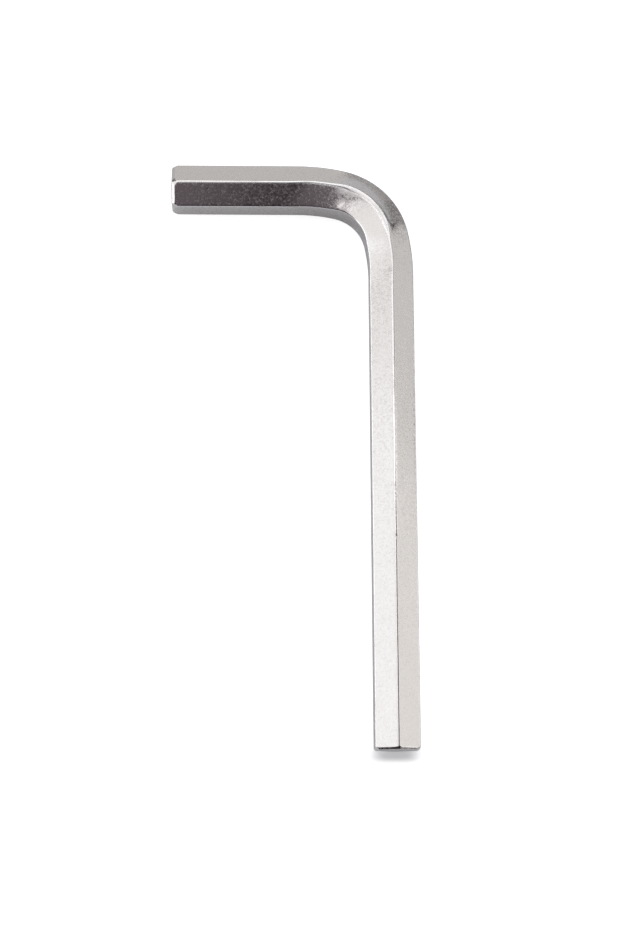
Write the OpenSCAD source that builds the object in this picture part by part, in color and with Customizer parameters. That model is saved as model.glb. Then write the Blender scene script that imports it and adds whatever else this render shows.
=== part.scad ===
// L-shaped hexagonal wrench key, bent cold from one length of hexagonal steel bar.
// It lies on its side as it comes to rest: the plane of the two arms is level, and two
// opposite corners of the hexagon point straight up and straight down. The short arm points
// to -X and the long arm to -Y.
// Origin: centre of the footprint, on the surface that the key lies on. Millimetres, +Z up.

/* [Bar] */
// Size of the key, measured across the flats of the hexagon
across_flats = 5; // [3:0.5:8]
// Rounding along the six long corners of the bar
corner_r = 0.25; // [0.1:0.05:0.4]

/* [Arms] */
// Length of the long arm, from its end to the outside of the short arm
long_arm = 66.8; // [50:0.1:120]
// Length of the short arm, from its end to the outside of the long arm
short_arm = 27.7; // [22:0.1:45]

/* [Bend] */
// Radius of the middle of the bend, at the centre of the bar
bend_r = 7; // [5:0.1:10]
// Radius of the gentle run into the bend and out of it, at the centre of the bar
lead_r = 22; // [12:0.5:26]
// Angle that each gentle run turns through
lead_angle = 12.5; // [2:0.5:18]

/* [Long end] */
// How far the chamfer around the long end reaches along the middle of each flat
long_chamfer = 0.28; // [0.1:0.02:0.8]
// Slope of that chamfer, from the plane of the end face
long_chamfer_angle = 45; // [25:1:65]
// Rounding where the end face meets its chamfer
long_face_round = 0.1; // [0.05:0.05:0.4]

/* [Short end] */
// How far the chamfer around the short end reaches along the middle of each flat
short_chamfer = 0.25; // [0.1:0.01:0.8]
// Slope of that chamfer, from the plane of the end face
short_chamfer_angle = 53; // [25:1:65]
// Rounding where the end face meets its chamfer
short_face_round = 0.3; // [0.05:0.05:0.4]

/* [Hidden] */
$fn = 96;

// Centres of the corner roundings, from the middle of the bar
corner_centre = (across_flats / 2 - corner_r) / cos(30);
// Half of the bar's height as it lies, which is also how high its centre line runs
half_height = corner_centre + corner_r;

// What the two gentle runs leave of the right angle is turned by the middle of the bend
middle_angle = 90 - 2 * lead_angle;
// From the point where the arms' centre lines cross, how far the bend's middle arc has its
// centre along each arm, and how far the whole bend reaches along each arm
middle_reach = bend_r + (lead_r - bend_r) * (1 - cos(lead_angle));
bend_reach = middle_reach + (lead_r - bend_r) * sin(lead_angle);

// The point where the centre lines of the two arms cross
cross_point = [(short_arm - across_flats) / 2, (long_arm - across_flats) / 2, half_height];
// Straight lengths left beside the bend
short_straight = short_arm - across_flats / 2 - bend_reach;
long_straight = long_arm - across_flats / 2 - bend_reach;

// Moves in a coarse and a fine step, so that a place that is written down with few digits
// is still exact, and pieces that meet do so without a gap
module move_exactly(place) {
    coarse = [for (value = place) round(value * 1000) / 1000];
    translate(coarse) translate(place - coarse) children();
}

// The bar's section: +X is towards the outside of the bend and is square to a flat
module section() {
    for (k = [0:5]) rotate(30 + 60 * k) translate([corner_centre, 0]) circle(corner_r);
    polygon([
        for (k = [0:5], side = [-30, 30])
            let (turn = 30 + 60 * k)
            corner_centre * [cos(turn), sin(turn)] + corner_r * [cos(turn + side), sin(turn + side)]
    ]);
}

// Space that a dressed end fits in: a flat face at x = 0, its rounding, and a cone along -X
module dressed_space(length, chamfer, slope, face_round) {
    face_r = across_flats / 2 - chamfer / tan(slope);
    tangent = face_round * tan(slope / 2);
    flare = half_height + 1 - face_r;
    rotate([0, -90, 0]) rotate_extrude() {
        polygon([
            [0, 0],
            [face_r - tangent, 0],
            [face_r + tangent * cos(slope), tangent * sin(slope)],
            [face_r + flare, flare * tan(slope)],
            [face_r + flare, length + flare * tan(slope)],
            [0, length + flare * tan(slope)]
        ]);
        translate([face_r - tangent, face_round]) circle(face_round);
    }
}

// A straight arm along +X, from the bend at x = 0 to its dressed end
module arm(length, chamfer, slope, face_round) {
    intersection() {
        rotate([90, 0, 90]) linear_extrude(length) section();
        translate([length, 0, 0]) dressed_space(length, chamfer, slope, face_round);
    }
}

// One arc of the bend around its own centre
module bend_arc(radius, from, angle) {
    rotate_extrude(start = from, angle = angle) translate([radius, 0]) section();
}

// The whole bend: a gentle run, the tighter middle, and a gentle run again
module bend() {
    move_exactly([-bend_reach, -lead_r, 0]) bend_arc(lead_r, 90 - lead_angle, lead_angle);
    move_exactly([-middle_reach, -middle_reach, 0]) bend_arc(bend_r, lead_angle, middle_angle);
    move_exactly([-lead_r, -bend_reach, 0]) bend_arc(lead_r, 0, lead_angle);
}

// The key: one bar from the short end, round the bend, to the long end
module key_bar() {
    color([0.78, 0.78, 0.8]) translate(cross_point) {
        move_exactly([-bend_reach, 0, 0]) rotate(180)
            arm(short_straight, short_chamfer, short_chamfer_angle, short_face_round);
        bend();
        move_exactly([0, -bend_reach, 0]) rotate(-90)
            arm(long_straight, long_chamfer, long_chamfer_angle, long_face_round);
    }
}

key_bar();
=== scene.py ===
# A bent hexagonal key in plated steel, on a pale studio floor
import math

import bpy
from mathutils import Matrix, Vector


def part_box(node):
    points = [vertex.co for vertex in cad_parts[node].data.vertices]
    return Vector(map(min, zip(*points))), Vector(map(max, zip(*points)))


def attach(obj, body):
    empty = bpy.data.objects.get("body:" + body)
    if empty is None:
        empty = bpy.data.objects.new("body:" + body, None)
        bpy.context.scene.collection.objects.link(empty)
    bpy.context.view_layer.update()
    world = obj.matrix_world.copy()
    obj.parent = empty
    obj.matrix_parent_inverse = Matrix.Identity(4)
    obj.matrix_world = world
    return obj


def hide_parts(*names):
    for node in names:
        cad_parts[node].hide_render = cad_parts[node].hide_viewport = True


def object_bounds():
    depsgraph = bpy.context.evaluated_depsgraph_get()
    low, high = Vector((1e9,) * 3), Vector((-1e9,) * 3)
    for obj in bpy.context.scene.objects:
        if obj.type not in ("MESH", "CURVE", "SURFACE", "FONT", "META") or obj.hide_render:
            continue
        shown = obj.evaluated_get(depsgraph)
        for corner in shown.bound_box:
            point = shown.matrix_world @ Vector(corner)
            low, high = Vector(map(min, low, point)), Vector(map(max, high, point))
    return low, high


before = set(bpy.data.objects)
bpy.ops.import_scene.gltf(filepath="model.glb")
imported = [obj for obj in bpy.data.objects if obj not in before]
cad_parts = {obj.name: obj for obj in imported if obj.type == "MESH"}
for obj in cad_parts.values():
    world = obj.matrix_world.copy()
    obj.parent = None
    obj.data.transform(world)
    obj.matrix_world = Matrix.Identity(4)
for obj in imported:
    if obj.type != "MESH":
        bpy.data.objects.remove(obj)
cadLow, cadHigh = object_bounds()
mm = 0.001
print("frame loaded, nodes:", len(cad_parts))


# A socket that can stand in a formula: each sum or product adds a Math node
class Wire:
    def __init__(self, tree, socket):
        self.tree = tree
        self.socket = socket

    def math(self, operation, *others):
        node = self.tree.nodes.new("ShaderNodeMath")
        node.operation = operation
        for place, value in enumerate((self, *others)):
            feed(self.tree, node.inputs[place], value)
        return Wire(self.tree, node.outputs[0])

    def __add__(self, other):
        return self.math("ADD", other)

    def __sub__(self, other):
        return self.math("SUBTRACT", other)

    def __mul__(self, other):
        return self.math("MULTIPLY", other)

    def __truediv__(self, other):
        return self.math("DIVIDE", other)


def feed(tree, socket, value):
    if isinstance(value, Wire):
        tree.links.new(value.socket, socket)
    elif isinstance(value, bpy.types.NodeSocket):
        tree.links.new(value, socket)
    else:
        socket.default_value = value


# Adds a node, sets its options and feeds its inputs, which are given by name or number
def addNode(tree, kind, inputs=None, **options):
    node = tree.nodes.new(kind)
    for name, value in options.items():
        setattr(node, name, value)
    for name, value in (inputs or {}).items():
        feed(tree, node.inputs[name], value)
    return node


def out(tree, node, name=0):
    return Wire(tree, node.outputs[name])


# Goes from low to high while value goes from start to end, and is held outside them
def ramp(tree, value, start, end, low=0.0, high=1.0, smooth=False):
    node = addNode(tree, "ShaderNodeMapRange", {0: value, 1: start, 2: end, 3: low, 4: high})
    node.interpolation_type = "SMOOTHSTEP" if smooth else "LINEAR"
    return out(tree, node)


def mixed(first, second, share):
    return first + (second - first) * share


# The Mix node keeps its colours at inputs 6 and 7 and at output 2
def mixedColour(tree, first, second, share):
    node = addNode(tree, "ShaderNodeMix", {0: share, 6: first, 7: second}, data_type="RGBA")
    return node.outputs[2]


def vector(tree, x, y, z):
    return out(tree, addNode(tree, "ShaderNodeCombineXYZ", {0: x, 1: y, 2: z}))


# What the bar's box doesn't give. Each value is an input of the bar's node tree
keyBar = {
    "Corner Radius": 0.25 * mm,      # rounding of the six long corners
    "Bend Radius": 7.0 * mm,         # middle of the bend, along the bar's centre
    "Lead Radius": 22.0 * mm,        # gentle run into the bend and out of it
    "Lead Angle": math.radians(12.5),
    "Lead Easing": 1.5 * mm,         # how far a change of radius spreads to each side
    "Long Chamfer": 0.27 * mm,       # length of the chamfer along each flat
    "Long Slope": math.radians(57),  # of the chamfer, from the plane of the end face
    "Long Rounding": 0.05 * mm,      # between the chamfer and the end face
    "Long Notch": 0.37 * mm,         # length of the cone that takes off the corners
    "Long Notch Slope": 0.73,        # how much that cone widens along its length
    "Short Chamfer": 0.36 * mm,
    "Short Slope": math.radians(53),
    "Short Rounding": 0.13 * mm,
    "Short Notch": 0.67 * mm,
    "Short Notch Slope": 0.44,
    "Chamfer Softness": 0.07 * mm,   # blend between a flat and its chamfer
    "Notch Softness": 0.05 * mm,     # blend between a flat and the cone
    "Squeeze": 0.5,                  # how much the bend thins its outside and swells its inside
    "Pressed Corner": 0.09 * mm,     # how far the bending tool flattens the corners in the bend
    "Press Softness": 0.07 * mm,     # blend between what it flattens and the rest
    "Waviness": 0.006 * mm,
    "Wave Scale": 220.0,             # of the waves' noise, for each metre
    "Nick Depth": 0.07 * mm,
    "Nick Scale": 900.0,             # of the nicks' noise
    "Nick Start": 0.66,              # noise above which a corner is nicked
    "Nick Full": 0.80,               # noise at which a nick is at its deepest
    "Seed": 4.0,                     # of both noises
}
arcSteps = 6                         # columns of faces over a rounded corner
flatSteps = 12                       # columns over a flat
capRings = 8                         # rings over an end face
endRings = 50                        # rings that shape a dressed end
middleRings = 500
columnCount = 6 * (arcSteps + flatSteps)
ringCount = 2 * (capRings + endRings) + middleRings
endZone = 1.5 * mm                   # length of bar that an end's rings take up
mapWidth = 18.0 * mm                 # once round the bar, in its own map
seamReach = 1e-7                     # points closer than this become one
rightAngle = math.radians(90)
cornerAngle = math.radians(60)       # from one corner of the hexagon to the next


# The bar's box gives the arms' lengths and, from its height, the size across flats
def barSizes():
    low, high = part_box("key_bar")
    radius = keyBar["Corner Radius"]
    halfHeight = (high[2] - low[2]) / 2
    acrossFlats = 2 * ((halfHeight - radius) * math.cos(cornerAngle / 2) + radius)
    return {"Across Flats": acrossFlats, "Short Arm": high[0] - low[0], "Long Arm": high[1] - low[1]}


def groupInputs(tree, values):
    tree.interface.new_socket("Geometry", in_out="OUTPUT", socket_type="NodeSocketGeometry")
    for name in values:
        tree.interface.new_socket(name, in_out="INPUT", socket_type="NodeSocketFloat")
    tree.interface.new_socket("Steel", in_out="INPUT", socket_type="NodeSocketMaterial")
    node = tree.nodes.new("NodeGroupInput")
    return {name: out(tree, node, name) for name in (*values, "Steel")}


# A flat grid to wrap into the bar, with the number of each point's column and ring
def barGrid(tree):
    counts = {0: columnCount, 1: ringCount, 2: columnCount + 1, 3: ringCount + 1}
    grid = addNode(tree, "GeometryNodeMeshGrid", counts).outputs[0]
    position = tree.nodes.new("GeometryNodeInputPosition").outputs[0]
    here = addNode(tree, "ShaderNodeSeparateXYZ", {0: position})
    column = (out(tree, here, 0) + columnCount / 2).math("ROUND")
    ring = (out(tree, here, 1) + ringCount / 2).math("ROUND")
    return grid, column, ring


# Distance of the corner roundings' centres from the middle of the bar
def cornerCentre(size):
    return (size["Across Flats"] / 2 - size["Corner Radius"]) / math.cos(cornerAngle / 2)


# Rounded hexagon whose first corner points straight down: outward is towards the outside of
# the bend and up is up
def sectionPoint(tree, size, column):
    steps = arcSteps + flatSteps
    corner = (column / steps).math("FLOOR")
    step = column - corner * steps
    angle = corner * cornerAngle - rightAngle
    after = angle + cornerAngle
    facing = ramp(tree, step, 0, arcSteps, -cornerAngle / 2, cornerAngle / 2) + angle
    slide = ramp(tree, step, arcSteps, steps)
    radius = size["Corner Radius"]
    centre = cornerCentre(size)
    outward = mixed(angle.math("COSINE"), after.math("COSINE"), slide) * centre
    up = mixed(angle.math("SINE"), after.math("SINE"), slide) * centre
    arcMiddle = arcSteps / 2
    fromMiddle = (step - arcMiddle).math("ABSOLUTE")
    onCorner = ramp(tree, fromMiddle, arcMiddle - 1, arcMiddle, 1.0, 0.0)
    return (outward + facing.math("COSINE") * radius, up + facing.math("SINE") * radius, onCorner)


# Distance along the bar of each ring, with close rings at both ends
def ringPlace(tree, ring, total):
    near = capRings + endRings
    start = ramp(tree, ring, capRings, near)
    end = ramp(tree, ring, ringCount - capRings, ringCount - near)
    middle = ramp(tree, ring, near, ringCount - near)
    return start * start * endZone + middle * (total - 2 * endZone) + (end * end * -endZone + endZone)


# How wide the bar still is at a distance from the end: each flat has a chamfer that rounds
# over into the end face, and a cone takes off the corners
def dressed(size, end, away, radial):
    sloped = (size[end + " Chamfer"] - away).math("SMOOTH_MAX", 0.0, size["Chamfer Softness"])
    cut = sloped / size[end + " Slope"].math("TANGENT")
    rounding = size[end + " Rounding"]
    share = (away / rounding * -1 + 1).math("MAXIMUM", 0.0)
    turn = ((share * share * -1 + 1).math("MAXIMUM", 0.0).math("SQRT") * -1 + 1) * rounding
    halfHeight = cornerCentre(size) + size["Corner Radius"]
    cone = halfHeight + (away - size[end + " Notch"]) * size[end + " Notch Slope"] - turn
    narrowed = radial - radial * (cut + turn) / (size["Across Flats"] / 2)
    return narrowed.math("SMOOTH_MIN", cone, size["Notch Softness"])


# The centre line: straight, gentle run, tight middle, gentle run, straight. Bending is the
# curvature, eased where one radius goes over into the next
def centreLine(tree, size, place, straight):
    lead = size["Lead Angle"]
    middle = lead * -2 + rightAngle
    runs = ((lead, size["Lead Radius"]), (middle, size["Bend Radius"]), (lead, size["Lead Radius"]))
    easing = size["Lead Easing"]
    start = straight
    x = place.math("MINIMUM", straight)
    y = x * 0
    heading = x * 0
    bending = x * 0
    for angle, radius in runs:
        end = start + angle * radius
        after = heading + ramp(tree, place, start, end) * angle
        x = x + (after.math("SINE") - heading.math("SINE")) * radius
        y = y + (after.math("COSINE") - heading.math("COSINE")) * radius
        within = ramp(tree, place, start - easing, start + easing, smooth=True)
        beyond = ramp(tree, place, end - easing, end + easing, smooth=True)
        bending = bending + (within - beyond) / radius
        heading = after
        start = end
    return x, y - (place - start).math("MAXIMUM", 0.0), heading, bending


# How far the bend reaches along each arm, and its length along the centre line
def bendLength(size):
    lead = size["Lead Angle"]
    tight = size["Bend Radius"]
    wider = size["Lead Radius"] - tight
    reach = tight + wider * (lead.math("COSINE") * -1 + 1) + wider * lead.math("SINE")
    along = lead * size["Lead Radius"] * 2 + (lead * -2 + rightAngle) * tight
    return reach, along


def skinNoise(tree, size, skin, scale, detail):
    inputs = {"Vector": skin, "W": size["Seed"], "Scale": scale, "Detail": detail}
    return out(tree, addNode(tree, "ShaderNodeTexNoise", inputs, noise_dimensions="4D"), "Fac")


# How far the skin lies under the true shape: slow waves of the drawn bar, and nicks along its
# corners. The bar's own unbent shape places them
def wornDepth(tree, size, outward, up, place, onCorner):
    skin = vector(tree, outward, up, place)
    waves = skinNoise(tree, size, skin, size["Wave Scale"], detail=1.0)
    dents = skinNoise(tree, size, skin, size["Nick Scale"], detail=2.0)
    nicked = ramp(tree, dents, size["Nick Start"], size["Nick Full"], smooth=True)
    return waves * size["Waviness"] + nicked * onCorner * size["Nick Depth"]


# Share of the full section that is left: an end's last rings shrink to a point and so make
# its face
def keptShare(tree, size, ring, place, total, outward, up, onCorner):
    radial = (outward * outward + up * up).math("SQRT")
    cap = ramp(tree, ring, 0, capRings).math("MINIMUM", ramp(tree, ring, ringCount, ringCount - capRings))
    worn = radial - wornDepth(tree, size, outward, up, place, onCorner)
    return dressed(size, "Long", total - place, dressed(size, "Short", place, worn)) / radial * cap


# Cold bending thins the outside of the bend, swells its inside and curls the section between
# them, and the tool presses the top and bottom corners flat
def bentSection(size, outward, up, bending):
    squeeze = bending * size["Squeeze"]
    swollen = up * (squeeze * outward * -1 + 1)
    curled = outward + squeeze * up * up / 2
    tightness = (bending * size["Bend Radius"]).math("POWER", 2.0)
    press = cornerCentre(size) + size["Corner Radius"] - tightness * size["Pressed Corner"]
    pressed = swollen.math("ABSOLUTE").math("SMOOTH_MIN", press, size["Press Softness"])
    return curled, pressed * swollen.math("SIGN")


# Stores a value on the grid under a name that the steel reads
def stored(tree, geometry, name, value, kind, domain):
    inputs = {"Geometry": geometry, "Name": name, "Value": value}
    node = addNode(tree, "GeometryNodeStoreNamedAttribute", inputs, data_type=kind, domain=domain)
    return node.outputs[0]


# Moves the grid's points to their places, closes the seam and the ends, and adds the steel
def wrapped(tree, geometry, places, steel):
    shaped = addNode(tree, "GeometryNodeSetPosition", {"Geometry": geometry, "Position": places})
    closing = {"Geometry": shaped.outputs[0], "Distance": seamReach}
    closed = addNode(tree, "GeometryNodeMergeByDistance", closing)
    smooth = addNode(tree, "GeometryNodeSetShadeSmooth", {"Geometry": closed.outputs[0]})
    real = addNode(tree, "GeometryNodeRealizeInstances", {"Geometry": smooth.outputs[0]})
    plated = addNode(tree, "GeometryNodeSetMaterial", {"Geometry": real.outputs[0], "Material": steel})
    last = tree.nodes.new("NodeGroupOutput")
    feed(tree, last.inputs["Geometry"], plated.outputs[0])


def barTree(values):
    tree = bpy.data.node_groups.new("keyBarShape", "GeometryNodeTree")
    size = groupInputs(tree, values)
    grid, column, ring = barGrid(tree)
    reach, along = bendLength(size)
    halfFlats = size["Across Flats"] / 2
    shortStraight = size["Short Arm"] - halfFlats - reach
    longStraight = size["Long Arm"] - halfFlats - reach
    total = shortStraight + along + longStraight
    place = ringPlace(tree, ring, total)
    outward, up, onCorner = sectionPoint(tree, size, column)
    kept = keptShare(tree, size, ring, place, total, outward, up, onCorner)
    x, y, heading, bending = centreLine(tree, size, place, shortStraight)
    outward, up = bentSection(size, outward * kept, up * kept, bending)

    low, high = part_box("key_bar")
    places = vector(tree, x + outward * heading.math("SINE") + low[0],
                    y + outward * heading.math("COSINE") + high[1] - halfFlats,
                    up + (low[2] + high[2]) / 2)
    unrolled = vector(tree, column * (mapWidth / columnCount), place, 0.0)
    mapped = stored(tree, grid, "barMap", unrolled, "FLOAT2", "CORNER")
    edged = stored(tree, mapped, "cornerWear", onCorner, "FLOAT", "POINT")
    wrapped(tree, edged, places, size["Steel"])
    return tree


# Runs a node tree on an empty object and keeps what it makes as a plain mesh
def grown(name, tree, values):
    source = bpy.data.objects.new(name + "Source", bpy.data.meshes.new(name + "Source"))
    bpy.context.scene.collection.objects.link(source)
    modifier = source.modifiers.new("shape", "NODES")
    modifier.node_group = tree
    for item in tree.interface.items_tree:
        if item.in_out == "INPUT":
            modifier[item.identifier] = values[item.name]
    evaluated = source.evaluated_get(bpy.context.evaluated_depsgraph_get())
    mesh = bpy.data.meshes.new_from_object(evaluated)
    mesh.name = name
    bpy.data.objects.remove(source)
    piece = bpy.data.objects.new(name, mesh)
    bpy.context.scene.collection.objects.link(piece)
    return piece


# The ranges are of the noises, which lie about 0.5, and the shares say how much each noise counts
platedSteel = {
    "bright": (0.757, 0.740, 0.727, 1.0),
    "dull": (0.735, 0.716, 0.704, 1.0),
    "patchSize": 1.6 * mm,            # cloudy patches in the plating
    "grainSize": 0.30 * mm,           # fine mottled grain
    "drawnWidth": 0.09 * mm,          # lines left along the bar by drawing
    "drawnLength": 5.0 * mm,
    "cloudShares": (0.45, 0.1, 0.45), # of patches, grain and drawn lines in the colour
    "cloudRange": (0.38, 0.62),       # from dull to bright
    "roughShares": (0.12, 0.88),      # of patches and grain in the roughness
    "roughRange": (0.34, 0.60),       # from roughest to smoothest
    "roughest": 0.34,
    "smoothest": 0.10,
    "worn": (0.86, 0.85, 0.85, 1.0),  # corners, polished by handling
    "wornRoughness": 0.09,
    "wornRange": (0.35, 0.5),         # of the patches, from plain to worn corners
    "grainHeight": 0.0045 * mm,
    "drawnHeight": 0.0020 * mm,
    "pitSize": 0.9 * mm,              # far-apart small pits
    "pitRange": (0.70, 0.80),
    "pitHeight": 0.010 * mm,
}


def noise(tree, place, size, detail=2.0, rough=0.5):
    inputs = {"Vector": place, "Scale": 1.0 / size, "Detail": detail, "Roughness": rough}
    return out(tree, addNode(tree, "ShaderNodeTexNoise", inputs), "Fac")


def summed(noises, shares):
    total = noises[0] * shares[0]
    for part, share in zip(noises[1:], shares[1:]):
        total = total + part * share
    return total


# Noise in the bar's own map, stretched into lines along the bar
def drawnLines(tree):
    alongBar = addNode(tree, "ShaderNodeUVMap", uv_map="barMap").outputs["UV"]
    stretch = (1.0 / platedSteel["drawnWidth"], 1.0 / platedSteel["drawnLength"], 1.0)
    stretched = addNode(tree, "ShaderNodeMapping", {"Vector": alongBar, "Scale": stretch}).outputs[0]
    return noise(tree, stretched, 1.0, rough=0.6)


def makePlatedSteel():
    look = platedSteel
    material = bpy.data.materials.new("platedSteel")
    material.use_nodes = True
    tree = material.node_tree
    shader = tree.nodes["Principled BSDF"]
    place = tree.nodes.new("ShaderNodeTexCoord").outputs["Object"]
    patches = noise(tree, place, look["patchSize"], detail=3.0, rough=0.6)
    grain = noise(tree, place, look["grainSize"], detail=2.5, rough=0.65)
    drawn = drawnLines(tree)
    pits = ramp(tree, noise(tree, place, look["pitSize"]), *look["pitRange"], smooth=True)
    corner = out(tree, addNode(tree, "ShaderNodeAttribute", attribute_name="cornerWear"), "Fac")
    worn = corner * ramp(tree, patches, *look["wornRange"])

    cloudy = ramp(tree, summed((patches, grain, drawn), look["cloudShares"]), *look["cloudRange"])
    plating = mixedColour(tree, look["dull"], look["bright"], cloudy)
    feed(tree, shader.inputs["Base Color"], mixedColour(tree, plating, look["worn"], worn))
    rough = summed((patches, grain), look["roughShares"])
    plain = ramp(tree, rough, *look["roughRange"], look["roughest"], look["smoothest"])
    feed(tree, shader.inputs["Roughness"], plain + (plain * -1 + look["wornRoughness"]) * worn)
    height = grain * look["grainHeight"] + drawn * look["drawnHeight"] - pits * look["pitHeight"]
    bump = addNode(tree, "ShaderNodeBump", {"Strength": 1.0, "Distance": 1.0, "Height": height})
    feed(tree, shader.inputs["Normal"], bump.outputs[0])
    shader.inputs["Metallic"].default_value = 1.0
    return material


def makeKeyBar():
    values = {**barSizes(), **keyBar}
    piece = grown("hexKeyBar", barTree(values), {**values, "Steel": makePlatedSteel()})
    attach(piece, "root")
    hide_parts("key_bar")
    print("key bar made:", len(piece.data.polygons), "faces")


studio = {
    "floor": (0.75, 0.76, 0.785, 1.0),
    "floorReach": 3.0,               # half the floor's side
    "floorGlow": 0.03,               # the floor is lit from below too
    "floorWhite": 0.76,              # further glow, which only the camera sees
    "farWhite": 1.1,                 # and more of it far off, so that no horizon shows
    "farRange": (0.08, 0.6),         # distances over which that comes in
    "endWhite": 0.18,                # less of it in a patch beyond the long end: a painted shadow that deepens the real one there
    # Place and size of the painted shadow beyond the long end
    "shadowInset": 2.5 * mm,         # from the key's right side to the shadow's middle
    "shadowBeyond": 0.35 * mm,       # from the long end to the shadow's middle
    "shadowHalfWidth": 3.4 * mm,
    "shadowHalfDepth": 1.02 * mm,
    "shadowFade": (0.25, 1.15),      # from the shadow's full strength to its edge
    "room": (0.024, 0.019, 0.022, 1.0),  # what the steel mirrors between the panels
    "distance": 0.7,                 # of the panels, from the origin
}
white = (1.0, 1.0, 1.0, 1.0)

# Soft panels round the key: degrees from +X towards +Y, degrees above the floor, width and
# height in degrees, brightness, colour
panels = {
    "leftPanel": (185.9, 43, 57.5, 52, 1.02, (1.0, 0.99, 0.985)),
    "leftLowPanel": (176, 32, 24, 22, 0.19, (0.90, 1.0, 1.10)),
    "leftFloorPanel": (182, 9, 58, 16, 2.1, (1.0, 1.0, 1.0)),
    "topLeftPanel": (205, 77, 40, 14, 0.78, (0.99, 0.98, 1.0)),
    "rightPanel": (-6, 36, 36, 50, 0.93, (1.0, 0.98, 0.955)),
    "rightFloorPanel": (1, 6, 30, 10, 1.5, (1.0, 0.99, 0.98)),
    "rightBackPanel": (26.5, 24, 23, 32, 0.70, (1.0, 0.985, 0.965)),
    "rightFrontPanel": (-33, 18, 20, 20, 1.9, (1.0, 0.99, 0.98)),
    "rightDimPanel": (-58, 8, 24, 20, 0.26, (1.0, 0.98, 0.97)),
    "cornerPanel": (64, 18, 26, 36, 0.33, (1.0, 0.98, 0.97)),
    "cornerDimPanel": (44, 18, 14, 36, 0.21, (1.0, 0.98, 0.97)),
    "backPanel": (97, 12, 42, 26, 0.61, (1.0, 0.985, 0.97)),
    "topPanel": (90, 71, 54, 16, 1.04, (0.99, 0.98, 1.0)),
    "highBackPanel": (90, 46, 54, 30, 1.45, (1.0, 0.99, 0.98)),
    "topSidePanel": (140, 77, 12, 10, 0.75, (1.0, 0.99, 0.98)),
    "overheadPanel": (0, 90, 20, 24, 0.24, (1.0, 0.99, 0.98)),
    "frontPanel": (272, 50, 44, 34, 0.012, (1.0, 0.78, 0.90)),
    "frontLeftPanel": (243, 50, 30, 34, 0.11, (1.0, 0.86, 0.95)),
}


def addPanel(name, turn, rise, width, height, brightness, colour):
    distance = studio["distance"]
    light = bpy.data.lights.new(name, "AREA")
    light.shape = "RECTANGLE"
    light.size = 2 * distance * math.tan(math.radians(width / 2))
    light.size_y = 2 * distance * math.tan(math.radians(height / 2))
    light.color = colour
    light.energy = brightness * math.pi * light.size * light.size_y  # the same glow at any size
    turn = math.radians(turn)
    rise = math.radians(rise)
    away = Vector((math.cos(turn) * math.cos(rise), math.sin(turn) * math.cos(rise), math.sin(rise)))
    lamp = bpy.data.objects.new(name, light)
    lamp.location = away * distance
    lamp.rotation_euler = away.to_track_quat("Z", "Y").to_euler()
    lamp.visible_camera = False
    bpy.context.scene.collection.objects.link(lamp)


# The glow that the camera sees: weak in a patch beyond the long end, a painted shadow that deepens the
# real one there and is squarer across the bar than along it, and strong far off
def floorWhitenessAndPaintedShadow(tree):
    here = tree.nodes.new("ShaderNodeTexCoord").outputs["Object"]
    place = addNode(tree, "ShaderNodeSeparateXYZ", {0: here})
    x = out(tree, place, 0)
    y = out(tree, place, 1)
    across = (x - (cadHigh[0] - studio["shadowInset"])) / studio["shadowHalfWidth"]
    beyond = (y - (cadLow[1] - studio["shadowBeyond"])) / studio["shadowHalfDepth"]
    away = (across.math("POWER", 4.0) + (beyond * beyond).math("POWER", 1.5)).math("POWER", 0.3)
    # Painted shadow: the glow drops in the patch beyond the long end
    near = ramp(tree, away, *studio["shadowFade"], studio["endWhite"], studio["floorWhite"], smooth=True)
    farOff = (x.math("POWER", 2.0) + y.math("POWER", 2.0)).math("SQRT")
    return near + ramp(tree, farOff, *studio["farRange"], 0.0, studio["farWhite"])


def makeFloorPaper():
    paper = bpy.data.materials.new("floorPaper")
    paper.use_nodes = True
    tree = paper.node_tree
    shader = tree.nodes["Principled BSDF"]
    shader.inputs["Base Color"].default_value = studio["floor"]
    shader.inputs["Roughness"].default_value = 1.0
    shader.inputs["Specular IOR Level"].default_value = 0.0
    shader.inputs["Emission Color"].default_value = white
    seen = out(tree, tree.nodes.new("ShaderNodeLightPath"), "Is Camera Ray")
    feed(tree, shader.inputs["Emission Strength"], seen * floorWhitenessAndPaintedShadow(tree) + studio["floorGlow"])
    return paper


def makeFloor():
    floorMesh = bpy.data.meshes.new("floor")
    reach = studio["floorReach"]
    corners = [(-reach, -reach, 0), (reach, -reach, 0), (reach, reach, 0), (-reach, reach, 0)]
    floorMesh.from_pydata(corners, [], [(0, 1, 2, 3)])
    floorMesh.materials.append(makeFloorPaper())
    floor = bpy.data.objects.new("floor", floorMesh)
    bpy.context.scene.collection.objects.link(floor)


# Nearly dark all round, but white where the camera looks past the floor
def makeRoom():
    world = bpy.data.worlds.new("room")
    world.use_nodes = True
    tree = world.node_tree
    seen = tree.nodes.new("ShaderNodeLightPath").outputs["Is Camera Ray"]
    shade = mixedColour(tree, studio["room"], white, seen)
    feed(tree, tree.nodes["Background"].inputs["Color"], shade)
    bpy.context.scene.world = world


def makeStudio():
    makeFloor()
    makeRoom()
    for name, values in panels.items():
        addPanel(name, *values)
    bpy.context.scene.view_settings.view_transform = "Standard"
    print("studio made:", len(panels), "panels")


cameraView = {
    "place": (-0.003805, -0.043101, 0.202043),  # metres
    "turn": (11.7499, -1.6286, -0.2426),        # degrees
    "lens": 70,
    "nearest": 0.01,                            # nothing closer than this is drawn
}


def makeCamera():
    camera = bpy.data.objects.new("camera", bpy.data.cameras.new("camera"))
    camera.data.lens = cameraView["lens"]
    camera.data.clip_start = cameraView["nearest"]
    camera.location = cameraView["place"]
    camera.rotation_euler = [math.radians(value) for value in cameraView["turn"]]
    bpy.context.scene.collection.objects.link(camera)
    bpy.context.scene.camera = camera
    print("camera placed")


makeCamera()
makeKeyBar()
makeStudio()
